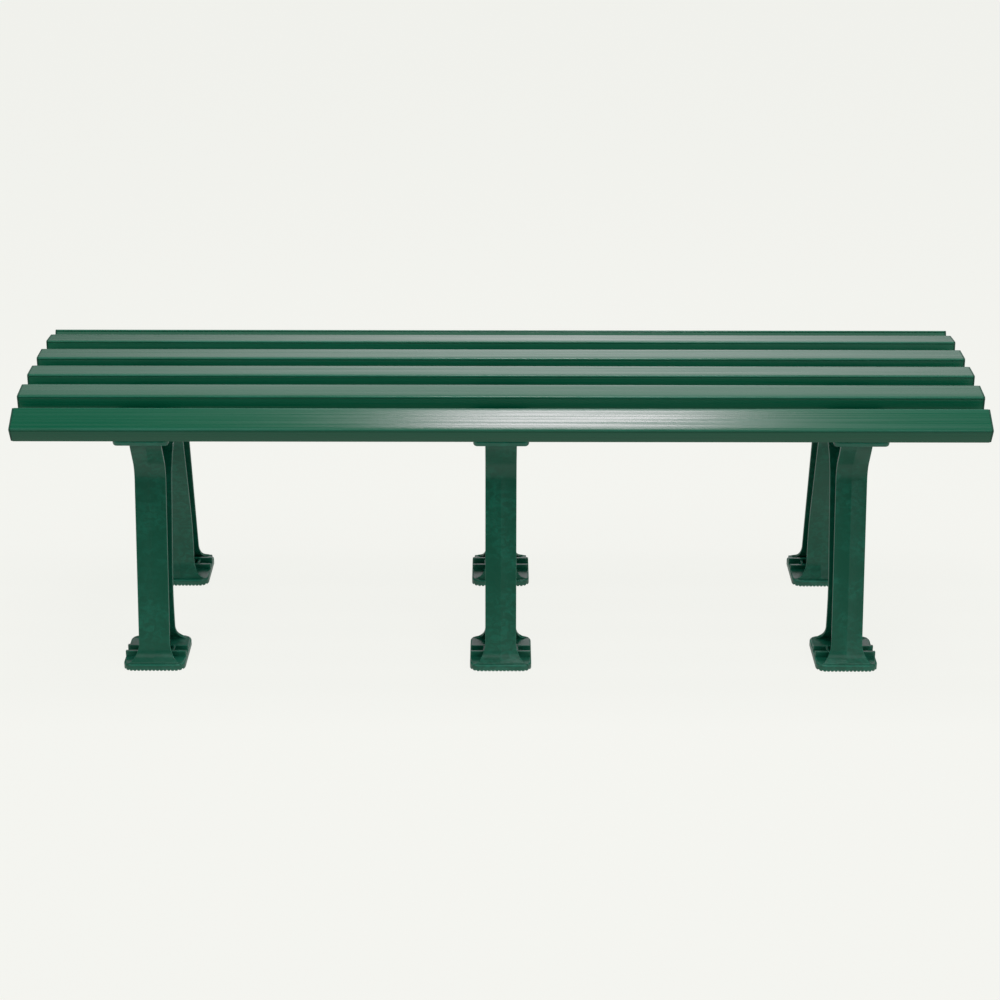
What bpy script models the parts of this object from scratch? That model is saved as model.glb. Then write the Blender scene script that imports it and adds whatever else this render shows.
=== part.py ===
"""Backless public bench with six hollow plastic slats on three moulded leg frames.

The bench stands on the floor at Z = 0 with its middle at the origin. X runs along the
slats and Y across the seat, from the front edge (-Y) to the back edge (+Y).
Every leg frame is one moulding: an I-section of two flanges and a web, a top plate that
carries the slats, and two serrated feet. Every slat is an extrusion with three chambers,
closed by an end cap at each end and held by two screws from below at each leg frame.
All sizes are in metres.
"""

import math

import bmesh
import bpy
from mathutils import Matrix, Vector

# --- whole bench ---------------------------------------------------------------------
BENCH_LENGTH = 1.500
FRAME_SPACING = 0.553
GAP = 0.0003
# Faces that turn by less than this many degrees count as one flat face.
FLAT_ANGLE = 0.05

# --- slats ---------------------------------------------------------------------------
SLAT_WIDTH = 0.0465
SLAT_HEIGHT = 0.0283
SLAT_WALL = 0.0025
SLAT_RIB = 0.0022
SLAT_MIDDLE_CHAMBER = 0.015
SLAT_EDGE_RADIUS = 0.003
SLAT_CORNER_STEPS = 3
# Middle of the top face (across, height) and outward tilt in degrees, outer slat first.
SLAT_ROWS = (
    (0.2094, 0.4265, 27.7),
    (0.1278, 0.4435, 4.7),
    (0.0410, 0.4460, 0.0),
)

# --- end caps ------------------------------------------------------------------------
CAP_PLATE = 0.0025
CAP_PLUG = 0.009
CAP_INSET = 0.0003

# --- leg frames ----------------------------------------------------------------------
FLANGE_WIDTH = 0.0493
FLANGE_THICKNESS = 0.005
WEB_THICKNESS = 0.005
PLATE_WIDTH = 0.086
PLATE_THICKNESS = 0.0095
# Side view lines as corners (across, height, fillet radius), from the foot upwards.
# Outer face of the outer flange, up to the top plate.
OUTER_CORNERS = (
    (0.2114, 0.0071, 0.0),
    (0.2096, 0.0152, 0.0),
    (0.1980, 0.0293, 0.030),
    (0.1360, 0.3140, 0.045),
    (0.1669, 0.3626, 0.050),
    (0.1795, 0.4061, 0.0),
)
# Face of the arch that looks at the opening, up to the crown.
ARCH_CORNERS = (
    (0.1143, 0.0071, 0.0),
    (0.1161, 0.0152, 0.0),
    (0.1259, 0.0273, 0.030),
    (0.1276, 0.1022, 0.250),
    (0.0558, 0.3247, 0.0753),
    (0.0000, 0.3247, 0.0),
)
ARC_STEP = 9.0

# --- feet ----------------------------------------------------------------------------
FOOT_WIDTH = 0.098
FOOT_FRONT = 0.2174
FOOT_BACK = 0.1072
FOOT_PLATE_TOP = 0.0106
FOOT_CORNER = 0.012
FOOT_CORNER_STEPS = 3
TOOTH_PITCH = 0.006
TOOTH_DEPTH = 0.0016
TOOTH_CREST = 0.0034
TOOTH_ROOT = 0.0010
FLARE_TOP = 0.0384
FLARE_BOTTOM = 0.0111
FLARE_STEPS = 4
# Front view corners (half width, height, fillet radius) where a flange meets the plate.
TOP_FLARE = (
    (0.02465, 0.3200, 0.0),
    (0.02465, 0.3975, 0.010),
    (0.0310, 0.4040, 0.0),
    (0.0310, 0.4360, 0.0),
)
# Two upright ribs across each foot: outer face, inner face and height.
FOOT_RIBS = (
    (0.1861, 0.1810, 0.0197),
    (0.1618, 0.1563, 0.0182),
)
SLOT_WALL_INNER = 0.0240
SLOT_WALL_OUTER = 0.0285
SLOT_WALL_HEIGHT = 0.0177

# --- screws --------------------------------------------------------------------------
SCREW_OFFSET = 0.033
SCREW_RADIUS = 0.0024
SCREW_HEAD_RADIUS = 0.0045
SCREW_HEAD_HEIGHT = 0.0030
SCREW_LENGTH = 0.0190
SCREW_TIP = 0.0035
SCREW_HOLE_RADIUS = 0.0029
SCREW_STEPS = 10

# --- derived -------------------------------------------------------------------------
SLAT_LENGTH = BENCH_LENGTH - 2 * (CAP_PLATE + GAP)
SIDE_CHAMBER = (SLAT_WIDTH - 2 * SLAT_WALL - 2 * SLAT_RIB - SLAT_MIDDLE_CHAMBER) / 2
FRAME_PLACES = (("left", -FRAME_SPACING), ("middle", 0.0), ("right", FRAME_SPACING))

# --- looks: base colour, roughness, metallic -----------------------------------------
SLAT_GREEN = (0.006, 0.080, 0.042)
FRAME_GREEN = (0.010, 0.055, 0.034)
CAP_GREEN = (0.005, 0.060, 0.034)
ZINC = (0.550, 0.560, 0.560)


def clear_scene():
    """Remove everything that is in the scene."""
    for thing in list(bpy.data.objects):
        bpy.data.objects.remove(thing, do_unlink=True)


def make_collection(name):
    """Make a collection and link it to the scene."""
    collection = bpy.data.collections.new(name)
    bpy.context.scene.collection.children.link(collection)
    return collection


def make_material(name, colour, roughness, metallic):
    """Make a plain Principled material."""
    material = bpy.data.materials.new(name)
    material.use_nodes = True
    shader = material.node_tree.nodes["Principled BSDF"]
    shader.inputs["Base Color"].default_value = (*colour, 1.0)
    shader.inputs["Roughness"].default_value = roughness
    shader.inputs["Metallic"].default_value = metallic
    return material


def add_object(name, mesh, collection, material=None):
    """Put a mesh into the scene as one named object."""
    thing = bpy.data.objects.new(name, mesh)
    collection.objects.link(thing)
    if material is not None:
        mesh.materials.append(material)
    return thing


def as_construction(thing):
    """Mark an object as a construction solid that is not part of the bench."""
    thing.hide_render = True
    thing.display_type = "WIRE"
    return thing


def outline_mesh(name, outlines, half_depth, turn):
    """Fill closed flat outlines, give them depth both ways and turn them into place."""
    curve = bpy.data.curves.new(name, "CURVE")
    curve.dimensions = "2D"
    curve.fill_mode = "BOTH"
    curve.extrude = half_depth
    for outline in outlines:
        spline = curve.splines.new("POLY")
        spline.points.add(len(outline) - 1)
        for point, (across, up) in zip(spline.points, outline):
            point.co = (across, up, 0.0, 1.0)
        spline.use_cyclic_u = True
    carrier = bpy.data.objects.new(name, curve)
    bpy.context.scene.collection.objects.link(carrier)
    bpy.context.view_layer.update()
    evaluated = carrier.evaluated_get(bpy.context.evaluated_depsgraph_get())
    mesh = bpy.data.meshes.new_from_object(evaluated)
    bpy.data.objects.remove(carrier, do_unlink=True)
    bpy.data.curves.remove(curve)
    body = bmesh.new()
    body.from_mesh(mesh)
    bmesh.ops.remove_doubles(body, verts=body.verts, dist=0.000001)
    flat = math.radians(FLAT_ANGLE)
    bmesh.ops.dissolve_limit(body, angle_limit=flat, verts=body.verts, edges=body.edges)
    bmesh.ops.transform(body, matrix=turn, verts=body.verts)
    bmesh.ops.recalc_face_normals(body, faces=body.faces)
    body.to_mesh(mesh)
    body.free()
    mesh.name = name
    return mesh


def side_view(x=0.0):
    """Turn a flat outline so that it reads (Y, Z) and has its depth along X."""
    turn = Matrix(((0, 0, 1), (1, 0, 0), (0, 1, 0))).to_4x4()
    return Matrix.Translation((x, 0.0, 0.0)) @ turn


def front_view(x=0.0):
    """Turn a flat outline so that it reads (X, Z) and has its depth along Y."""
    turn = Matrix(((1, 0, 0), (0, 0, -1), (0, 1, 0))).to_4x4()
    return Matrix.Translation((x, 0.0, 0.0)) @ turn


def plan_view(x, height):
    """Turn a flat outline so that it reads (X, Y) at a height and has its depth along Z."""
    return Matrix.Translation((x, 0.0, height))


def rectangle(low_across, high_across, low_up, high_up):
    """Corners of an upright rectangle."""
    return [
        (low_across, low_up),
        (high_across, low_up),
        (high_across, high_up),
        (low_across, high_up),
    ]


def rounded_rectangle(low_across, high_across, low_up, high_up, radius, steps):
    """Corners of a rectangle with rounded corners."""
    centres = (
        (high_across - radius, low_up + radius, -90.0),
        (high_across - radius, high_up - radius, 0.0),
        (low_across + radius, high_up - radius, 90.0),
        (low_across + radius, low_up + radius, 180.0),
    )
    points = []
    for centre_across, centre_up, start in centres:
        for step in range(steps + 1):
            angle = math.radians(start + 90.0 * step / steps)
            across = centre_across + radius * math.cos(angle)
            up = centre_up + radius * math.sin(angle)
            points.append((across, up))
    return points


def rounded_path(corners):
    """Straight lines between corners, with an arc of the stated radius in each corner."""
    points = [Vector(corner[:2]) for corner in corners]
    path = [points[0]]
    for index in range(1, len(corners) - 1):
        corner = points[index]
        radius = corners[index][2]
        arriving = (corner - points[index - 1]).normalized()
        leaving = (points[index + 1] - corner).normalized()
        turn = arriving.angle_signed(leaving)
        if radius == 0.0:
            path.append(corner)
            continue
        reach = radius * math.tan(abs(turn) / 2)
        start = corner - arriving * reach
        steps = math.ceil(abs(math.degrees(turn)) / ARC_STEP)
        side = math.copysign(1.0, turn)
        inward = Vector((arriving.y, -arriving.x)) * side
        centre = start + inward * radius
        for step in range(steps + 1):
            swing = Matrix.Rotation(-turn * step / steps, 2)
            path.append(centre + swing @ (start - centre))
    path.append(points[-1])
    return path


def offset_path(path, distance):
    """Shift a path sideways by an even distance, to the left of its direction of travel."""
    normals = []
    for start, end in zip(path, path[1:]):
        along = (end - start).normalized()
        normals.append(Vector((-along.y, along.x)))
    before = [normals[0]] + normals
    after = normals + [normals[-1]]
    shifted = []
    for point, first, second in zip(path, before, after):
        corner = (first + second) / (1.0 + first.dot(second))
        shifted.append(point + corner * distance)
    return shifted


def ribbon(path, thickness):
    """Closed outline of a strip of the given thickness to the left of a path."""
    edge = offset_path(path, thickness)
    return [tuple(point) for point in path] + [tuple(point) for point in reversed(edge)]


def mirrored(path):
    """Mirror a path across the middle of the bench, keeping its order reversed."""
    return [Vector((-point[0], point[1])) for point in reversed(path)]


def slat_placement(side, row):
    """Placement of a slat: local Z points out of the top face, origin at its middle."""
    across, height, tilt = SLAT_ROWS[row]
    turn = Matrix.Rotation(math.radians(-side * tilt), 4, "X")
    return Matrix.Translation((0.0, side * across, height)) @ turn


def slat_list():
    """All slats from front to back as (number, side, row)."""
    front = [(row + 1, -1, row) for row in range(3)]
    back = [(6 - row, 1, row) for row in reversed(range(3))]
    return front + back


def slat_underside(side, row, across, depth):
    """A point (Y, Z) below a slat, at a distance across it and below its underside."""
    place = slat_placement(side, row) @ Vector((0.0, across, -SLAT_HEIGHT - depth))
    return Vector((place.y, place.z))


def slat_chambers(inset):
    """Outlines of the three chambers of a slat, made smaller all round by the inset."""
    low = -SLAT_HEIGHT + SLAT_WALL + inset
    high = -SLAT_WALL - inset
    middle = SLAT_MIDDLE_CHAMBER / 2
    side_start = middle + SLAT_RIB
    side_end = side_start + SIDE_CHAMBER
    return [
        rectangle(-side_end + inset, -side_start - inset, low, high),
        rectangle(-middle + inset, middle - inset, low, high),
        rectangle(side_start + inset, side_end - inset, low, high),
    ]


def slat_outline(inset):
    """Outer outline of a slat, made smaller all round by the inset."""
    half = SLAT_WIDTH / 2 - inset
    return rounded_rectangle(
        -half, half, -SLAT_HEIGHT + inset, -inset, SLAT_EDGE_RADIUS, SLAT_CORNER_STEPS
    )


def pin_mesh(name, placements, radius, bottom, top):
    """Several straight pins along local Z in one mesh, one for each placement."""
    body = bmesh.new()
    middle = Matrix.Translation((0.0, 0.0, (bottom + top) / 2))
    for placement in placements:
        bmesh.ops.create_cone(
            body,
            cap_ends=True,
            segments=SCREW_STEPS,
            radius1=radius,
            radius2=radius,
            depth=top - bottom,
            matrix=placement @ middle,
        )
    mesh = bpy.data.meshes.new(name)
    body.to_mesh(mesh)
    body.free()
    return mesh


def screw_placement(x, side, row):
    """Placement of a screw: origin on the underside of the top plate, Z into the slat."""
    down = -SLAT_HEIGHT - GAP - PLATE_THICKNESS
    return slat_placement(side, row) @ Matrix.Translation((x, 0.0, down))


def combine(thing, other, operation):
    """Add a live Boolean with another object."""
    modifier = thing.modifiers.new(operation.lower(), "BOOLEAN")
    modifier.operation = operation
    modifier.solver = "EXACT"
    modifier.object = other
    return modifier


def make_slat(number, side, row, parts, cutters, material):
    """One hollow slat with its screw holes in the lower wall."""
    name = f"seat_slat_{number}"
    outlines = [slat_outline(0.0)] + slat_chambers(0.0)
    turn = slat_placement(side, row) @ side_view()
    slat = add_object(name, outline_mesh(name, outlines, SLAT_LENGTH / 2, turn), parts, material)
    placements = []
    for _, frame_x in FRAME_PLACES:
        for shift in (-SCREW_OFFSET, SCREW_OFFSET):
            placements.append(screw_placement(frame_x + shift, side, row))
    top = PLATE_THICKNESS + GAP + SLAT_WALL + 0.004
    holes = pin_mesh(f"{name}_holes", placements, SCREW_HOLE_RADIUS, 0.0, top)
    cutter = as_construction(add_object(f"{name}_holes", holes, cutters))
    combine(slat, cutter, "DIFFERENCE")


def make_end_cap(number, side, row, end, parts, cutters, material):
    """One plug that closes the end of a slat."""
    word = "left" if end < 0 else "right"
    name = f"end_cap_{number}_{word}"
    plate_x = end * (BENCH_LENGTH - CAP_PLATE) / 2
    plate_turn = slat_placement(side, row) @ side_view(plate_x)
    plate = outline_mesh(name, [slat_outline(CAP_INSET)], CAP_PLATE / 2, plate_turn)
    cap = add_object(name, plate, parts, material)
    plug_length = CAP_PLUG + CAP_PLATE / 2
    plug_x = end * (BENCH_LENGTH / 2 - CAP_PLATE / 2 - plug_length / 2)
    plug_turn = slat_placement(side, row) @ side_view(plug_x)
    plugs = outline_mesh(f"{name}_plugs", slat_chambers(GAP), plug_length / 2, plug_turn)
    combine(cap, as_construction(add_object(f"{name}_plugs", plugs, cutters)), "UNION")


def plate_top_path():
    """Upper face of the top plate, running just below the undersides of all slats."""
    half = SLAT_WIDTH / 2
    front = []
    for row in range(2):
        front.append(slat_underside(-1, row, -half, GAP))
        front.append(slat_underside(-1, row, half, GAP))
    front.append(slat_underside(-1, 2, -half, GAP))
    return front + mirrored(front)


def flange_outlines():
    """Side view outlines of both outer flanges and of the arch."""
    outer = rounded_path(OUTER_CORNERS)
    arch = rounded_path(ARCH_CORNERS)
    whole_arch = arch + mirrored(arch)[1:]
    back_flange = ribbon(outer, FLANGE_THICKNESS)
    front_flange = [(-across, up) for across, up in reversed(back_flange)]
    crown = ribbon(whole_arch, -FLANGE_THICKNESS)
    return [front_flange, back_flange, crown]


def web_outline():
    """Side view outline of the web, ending inside the flanges, the plate and the feet."""
    inside = FLANGE_THICKNESS / 2
    outer = offset_path(rounded_path(OUTER_CORNERS), inside)
    arch = offset_path(rounded_path(ARCH_CORNERS), -inside)
    plate = [point - Vector((0.0, PLATE_THICKNESS / 2)) for point in plate_top_path()]
    joint = outer[-1].x
    chord = [point for point in plate if abs(point.x) < joint]
    half_arch = arch[:-1] + [Vector((0.0, arch[-1].y))]
    outline = list(reversed(mirrored(outer)))
    outline += chord
    outline += list(reversed(outer))
    outline += half_arch
    outline += mirrored(half_arch)[1:]
    return [tuple(point) for point in outline]


def flange_front_outline():
    """Front view outline of a flange: wide at the foot, narrow up the leg, wide on top."""
    foot = FOOT_WIDTH / 2 - GAP
    narrow = FLANGE_WIDTH / 2
    spread = foot - narrow
    rise = FLARE_TOP - FLARE_BOTTOM
    half = [(foot, 0.002), (foot, FLARE_BOTTOM)]
    for step in range(1, FLARE_STEPS + 1):
        angle = math.radians(90.0 * step / FLARE_STEPS)
        up = FLARE_TOP - rise * math.cos(angle)
        across = foot - spread * math.sin(angle)
        half.append((across, up))
    half += [tuple(point) for point in rounded_path(TOP_FLARE)]
    return half + [(-across, up) for across, up in reversed(half)]


def foot_front_outline():
    """Front view outline of a foot plate with its row of teeth along the sole."""
    half = FOOT_WIDTH / 2
    count = int(FOOT_WIDTH / TOOTH_PITCH)
    slope = (TOOTH_PITCH - TOOTH_CREST - TOOTH_ROOT) / 2
    start = -TOOTH_PITCH * count / 2
    points = [(-half, 0.0)]
    for tooth in range(count):
        left = start + tooth * TOOTH_PITCH + TOOTH_CREST / 2
        points.append((left, 0.0))
        points.append((left + slope, TOOTH_DEPTH))
        points.append((left + slope + TOOTH_ROOT, TOOTH_DEPTH))
        points.append((left + 2 * slope + TOOTH_ROOT, 0.0))
    points += [(half, 0.0), (half, FOOT_PLATE_TOP), (-half, FOOT_PLATE_TOP)]
    return points


def foot_plan_outlines():
    """Plan outlines of the two feet, with rounded corners."""
    half = FOOT_WIDTH / 2
    front = rounded_rectangle(
        -half, half, -FOOT_FRONT, -FOOT_BACK, FOOT_CORNER, FOOT_CORNER_STEPS
    )
    back = rounded_rectangle(
        -half, half, FOOT_BACK, FOOT_FRONT, FOOT_CORNER, FOOT_CORNER_STEPS
    )
    return [front, back]


def foot_rib_outlines():
    """Side view outlines of the upright ribs on both feet."""
    low = FOOT_PLATE_TOP - 0.003
    outlines = []
    for outer, inner, height in FOOT_RIBS:
        outlines.append(rectangle(-outer, -inner, low, height))
        outlines.append(rectangle(inner, outer, low, height))
    return outlines


def slot_wall_outlines():
    """Plan outlines of the walls that close the slots between the ribs."""
    outer = FOOT_RIBS[0][0] - 0.001
    inner = FOOT_RIBS[1][1] + 0.001
    outlines = []
    for low, high in ((-outer, -inner), (inner, outer)):
        outlines.append(rectangle(SLOT_WALL_INNER, SLOT_WALL_OUTER, low, high))
        outlines.append(rectangle(-SLOT_WALL_OUTER, -SLOT_WALL_INNER, low, high))
    return outlines


def make_leg_frame(word, x, parts, cutters, material):
    """One moulded leg frame: web, flanges, top plate, feet, ribs and screw holes."""
    name = f"leg_frame_{word}"

    def solid(label, outlines, half_depth, turn):
        mesh = outline_mesh(f"{name}_{label}", outlines, half_depth, turn)
        return as_construction(add_object(f"{name}_{label}", mesh, cutters))

    web = outline_mesh(name, [web_outline()], WEB_THICKNESS / 2, side_view(x))
    frame = add_object(name, web, parts, material)

    flanges = solid("flanges", flange_outlines(), FOOT_WIDTH / 2 + 0.001, side_view(x))
    front = solid("flange_front", [flange_front_outline()], FOOT_FRONT + 0.01, front_view(x))
    combine(flanges, front, "INTERSECT")

    feet = solid("feet", [foot_front_outline()], FOOT_FRONT + 0.01, front_view(x))
    plan = solid("foot_plan", foot_plan_outlines(), 0.02, plan_view(x, 0.0))
    combine(feet, plan, "INTERSECT")

    plate_outline = ribbon(plate_top_path(), -PLATE_THICKNESS)
    plate = solid("plate", [plate_outline], PLATE_WIDTH / 2, side_view(x))

    ribs = solid("ribs", foot_rib_outlines(), FOOT_WIDTH / 2 - GAP, side_view(x))
    low = FOOT_PLATE_TOP - 0.002
    wall_middle = (low + SLOT_WALL_HEIGHT) / 2
    wall_half = (SLOT_WALL_HEIGHT - low) / 2
    walls = solid("slot_walls", slot_wall_outlines(), wall_half, plan_view(x, wall_middle))

    for piece in (flanges, plate, feet, ribs, walls):
        combine(frame, piece, "UNION")

    placements = []
    for _, side, row in slat_list():
        for shift in (-SCREW_OFFSET, SCREW_OFFSET):
            placements.append(screw_placement(x + shift, side, row))
    holes = pin_mesh(f"{name}_holes", placements, SCREW_HOLE_RADIUS, -0.002, PLATE_THICKNESS + 0.004)
    combine(frame, as_construction(add_object(f"{name}_holes", holes, cutters)), "DIFFERENCE")


def make_screw(name, placement, parts, material):
    """One screw, turned from half of its outline."""
    tip = SCREW_LENGTH - SCREW_TIP
    profile = (
        (0.0, SCREW_LENGTH),
        (SCREW_RADIUS, tip),
        (SCREW_RADIUS, -GAP),
        (SCREW_HEAD_RADIUS, -GAP),
        (SCREW_HEAD_RADIUS, -GAP - SCREW_HEAD_HEIGHT * 0.45),
        (SCREW_HEAD_RADIUS * 0.75, -GAP - SCREW_HEAD_HEIGHT),
        (0.0, -GAP - SCREW_HEAD_HEIGHT),
    )
    mesh = bpy.data.meshes.new(name)
    points = [(radius, 0.0, height) for radius, height in profile]
    edges = [(index, index + 1) for index in range(len(points) - 1)]
    mesh.from_pydata(points, edges, [])
    screw = add_object(name, mesh, parts, material)
    screw.matrix_world = placement
    turning = screw.modifiers.new("turning", "SCREW")
    turning.axis = "Z"
    turning.steps = SCREW_STEPS
    turning.render_steps = SCREW_STEPS
    turning.use_merge_vertices = True
    turning.merge_threshold = 0.00001
    turning.use_smooth_shade = True


def make_screws(parts, material):
    """Two screws under every slat at every leg frame."""
    for word, frame_x in FRAME_PLACES:
        for number, side, row in slat_list():
            for label, shift in (("a", -SCREW_OFFSET), ("b", SCREW_OFFSET)):
                placement = screw_placement(frame_x + shift, side, row)
                make_screw(f"screw_{word}_slat_{number}_{label}", placement, parts, material)


def main():
    """Build the whole bench."""
    clear_scene()
    parts = make_collection("backless_slatted_bench")
    cutters = make_collection("construction_solids")
    slat_plastic = make_material("slat_plastic", SLAT_GREEN, 0.28, 0.0)
    frame_plastic = make_material("frame_plastic", FRAME_GREEN, 0.38, 0.0)
    cap_plastic = make_material("cap_plastic", CAP_GREEN, 0.35, 0.0)
    screw_steel = make_material("screw_steel", ZINC, 0.35, 1.0)
    for number, side, row in slat_list():
        make_slat(number, side, row, parts, cutters, slat_plastic)
        for end in (-1, 1):
            make_end_cap(number, side, row, end, parts, cutters, cap_plastic)
    for word, x in FRAME_PLACES:
        make_leg_frame(word, x, parts, cutters, frame_plastic)
    make_screws(parts, screw_steel)


main()
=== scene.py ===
"""Fine surfaces, finishes, light and camera of the backless slatted bench.

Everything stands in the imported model's own frame: X along the slats, Y across the seat
from the front edge (-Y) to the back edge (+Y), Z up, the floor at Z = 0, metres.
Every shape is a grid of points worked out with numpy: a section carried along a path,
or a stack of plan outlines. Every finish is a procedural material at true scale.
"""

import logging
import math
from collections.abc import Mapping, Sequence
from dataclasses import dataclass
from enum import Enum

import bpy
import numpy as np
from mathutils import Matrix, Vector


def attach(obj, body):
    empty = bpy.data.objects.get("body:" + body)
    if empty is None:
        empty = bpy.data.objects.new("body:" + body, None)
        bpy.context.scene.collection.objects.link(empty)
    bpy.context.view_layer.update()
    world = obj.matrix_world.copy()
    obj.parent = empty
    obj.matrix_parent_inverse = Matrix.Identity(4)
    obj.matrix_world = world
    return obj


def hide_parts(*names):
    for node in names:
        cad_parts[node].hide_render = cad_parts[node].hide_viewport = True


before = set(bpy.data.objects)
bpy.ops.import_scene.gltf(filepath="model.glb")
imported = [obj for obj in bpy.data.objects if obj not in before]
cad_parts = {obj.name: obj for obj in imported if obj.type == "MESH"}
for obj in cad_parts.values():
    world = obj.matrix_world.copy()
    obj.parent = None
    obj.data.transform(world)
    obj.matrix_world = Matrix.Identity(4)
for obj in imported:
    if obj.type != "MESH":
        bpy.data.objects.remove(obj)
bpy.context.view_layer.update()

LOG = logging.getLogger("bench")
BODY = "root"
# Point attribute that weights the painted highlight on rounded edges: pale colour where light would
# glint.
PAINTED_EDGE_HIGHLIGHT = "painted_edge_highlight"
CLOSEST = 2e-5
STRAIGHT = 1e-4
Colour = tuple[float, float, float]
Point = tuple[float, float, float]
Corner = tuple[float, float, float]
Span = tuple[float, float, float]


class Side(Enum):
    """Which half of the bench a shape lies on."""

    FRONT = -1
    BACK = 1


class End(Enum):
    """Which end of a slat a cap closes."""

    LEFT = -1
    RIGHT = 1


class Slot(Enum):
    """Material slots of the bench's record."""

    SLAT = "slat_plastic"
    FRAME = "frame_plastic"
    CAP = "cap_plastic"
    SCREW = "screw_steel"


# --- shader graphs -------------------------------------------------------------------


class Value:
    """An output socket; arithmetic on it adds Math nodes to its graph."""

    def __init__(self, graph: "Graph", socket: bpy.types.NodeSocket) -> None:
        """Wrap one output socket of a graph."""
        self.graph = graph
        self.socket = socket

    def _math(self, operation: str, *terms: "Value | float") -> "Value":
        """Add one Math node that works on the terms."""
        return self.graph.node("ShaderNodeMath", {"operation": operation}, dict(enumerate(terms)))

    def __add__(self, other: "Value | float") -> "Value":
        """Sum with another value."""
        return self._math("ADD", self, other)

    __radd__ = __add__

    def __sub__(self, other: "Value | float") -> "Value":
        """This value less another."""
        return self._math("SUBTRACT", self, other)

    def __truediv__(self, other: "Value") -> "Value":
        """This value divided by another."""
        return self._math("DIVIDE", self, other)

    def __rsub__(self, other: float) -> "Value":
        """A number less this value."""
        return self._math("SUBTRACT", other, self)

    def __mul__(self, other: "Value | float") -> "Value":
        """Product with another value."""
        return self._math("MULTIPLY", self, other)

    __rmul__ = __mul__

    def __mod__(self, other: float) -> "Value":
        """Remainder that is never negative."""
        return self._math("FLOORED_MODULO", self, other)

    def __pow__(self, other: float) -> "Value":
        """Power of this value."""
        return self._math("POWER", self, other)

    def __abs__(self) -> "Value":
        """Size without sign."""
        return self._math("ABSOLUTE", self)

    def bell(self) -> "Value":
        """Bell curve: 1 where this value is 0, falling to nothing beyond 2 either way."""
        return self._math("EXPONENT", self * self * -1.0)

    def ramp(self, low: float, high: float) -> "Value":
        """Smooth step from 0 at low to 1 at high, either way round.

        Args:
            low: Value at which the result is 0.
            high: Value at which the result is 1.

        Returns:
            The stepped value, between 0 and 1.
        """
        if low > high:
            return 1.0 - self.ramp(high, low)
        settings = {"interpolation_type": "SMOOTHSTEP"}
        return self.graph.node("ShaderNodeMapRange", settings, {0: self, 1: low, 2: high})


class Graph:
    """A node tree that is filled by one method."""

    def __init__(self, tree: bpy.types.NodeTree) -> None:
        """Empty the tree and keep it."""
        tree.nodes.clear()
        self.tree = tree

    def node(
        self,
        kind: str,
        settings: Mapping[str, object] | None = None,
        sockets: Mapping[int | str, object] | None = None,
        output: int | str = 0,
    ) -> Value:
        """Add a node, set it up and feed it.

        Args:
            kind: The node's type.
            settings: Properties that are set first.
            sockets: Numbers, colours or Values for its inputs, by name or place.
            output: The output that is wanted, by name or place.

        Returns:
            The wanted output, or the node's first input where it has no output.
        """
        made = self.tree.nodes.new(kind)
        for key, value in (settings or {}).items():
            setattr(made, key, value)
        for key, value in (sockets or {}).items():
            if isinstance(value, Value):
                self.tree.links.new(value.socket, made.inputs[key])
            else:
                made.inputs[key].default_value = value
        return Value(self, made.outputs[output] if made.outputs else made.inputs[0])

    def place(self) -> Value:
        """Position on the object, in metres."""
        return self.node("ShaderNodeTexCoord", output="Object")

    def part(self, vector: Value, axis: int) -> Value:
        """One coordinate of a vector: 0 for X, 1 for Y and 2 for Z."""
        return self.node("ShaderNodeSeparateXYZ", sockets={0: vector}, output=axis)

    def scaled(self, vector: Value, factors: Sequence[float]) -> Value:
        """A vector times three factors."""
        sockets = {0: vector, 1: factors}
        return self.node("ShaderNodeVectorMath", {"operation": "MULTIPLY"}, sockets)

    def noise(
        self, vector: Value, scale: float, detail: float = 2.0, swirl: float = 0.0
    ) -> Value:
        """Noise between 0 and 1.

        Args:
            vector: Where it is read.
            scale: Bumps per metre of the vector.
            detail: How many finer octaves are added.
            swirl: How far the pattern is folded into itself.

        Returns:
            The noise.
        """
        sockets = {"Vector": vector, "Scale": scale, "Detail": detail, "Distortion": swirl}
        return self.node("ShaderNodeTexNoise", {}, sockets)

    def mixed(self, factor: "Value | float", first: object, second: object) -> Value:
        """Blend two colours.

        Args:
            factor: 0 for the first colour, 1 for the second.
            first: A colour or a Value.
            second: A colour or a Value.

        Returns:
            The blended colour.
        """
        ends = [(*end, 1.0) if isinstance(end, tuple) else end for end in (first, second)]
        sockets = {0: factor, 6: ends[0], 7: ends[1]}
        return self.node("ShaderNodeMix", {"data_type": "RGBA"}, sockets, output=2)

    def bumped(self, height: Value, distance: float) -> Value:
        """Normal of a surface raised by a height.

        Args:
            height: Height, where 1 is the full rise.
            distance: Rise in metres where the height is 1.

        Returns:
            The bent normal.
        """
        sockets = {"Height": height, "Distance": distance, "Strength": 1.0}
        return self.node("ShaderNodeBump", {}, sockets, output="Normal")

    def edge_highlight(self) -> Value:
        """How strongly a rounded edge of the piece takes the painted highlight, from its own
        attribute.
        """
        settings = {"attribute_name": PAINTED_EDGE_HIGHLIGHT, "attribute_type": "GEOMETRY"}
        return self.node("ShaderNodeAttribute", settings, output="Fac")

    def finish(self, shader: Value) -> None:
        """Send a shader to the material's output."""
        self.node("ShaderNodeOutputMaterial", {}, {"Surface": shader})

    def surface(
        self, colour: Value, rough: Value, relief: Value, rise: float, **even: float
    ) -> None:
        """Finish a material as one surface.

        Args:
            colour: Its base colour.
            rough: Its roughness.
            relief: Its height.
            rise: Metres of rise where that height is 1.
            even: Sockets that are the same all over, such as IOR.
        """
        normal = self.bumped(relief, rise)
        sockets = {"Base Color": colour, "Roughness": rough, **even, "Normal": normal}
        self.finish(self.node("ShaderNodeBsdfPrincipled", {}, sockets))


def new_material(name: str) -> tuple[bpy.types.Material, Graph]:
    """A node material and its empty graph."""
    material = bpy.data.materials.new(name)
    material.use_nodes = True
    return material, Graph(material.node_tree)


# --- finishes ------------------------------------------------------------------------


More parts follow.
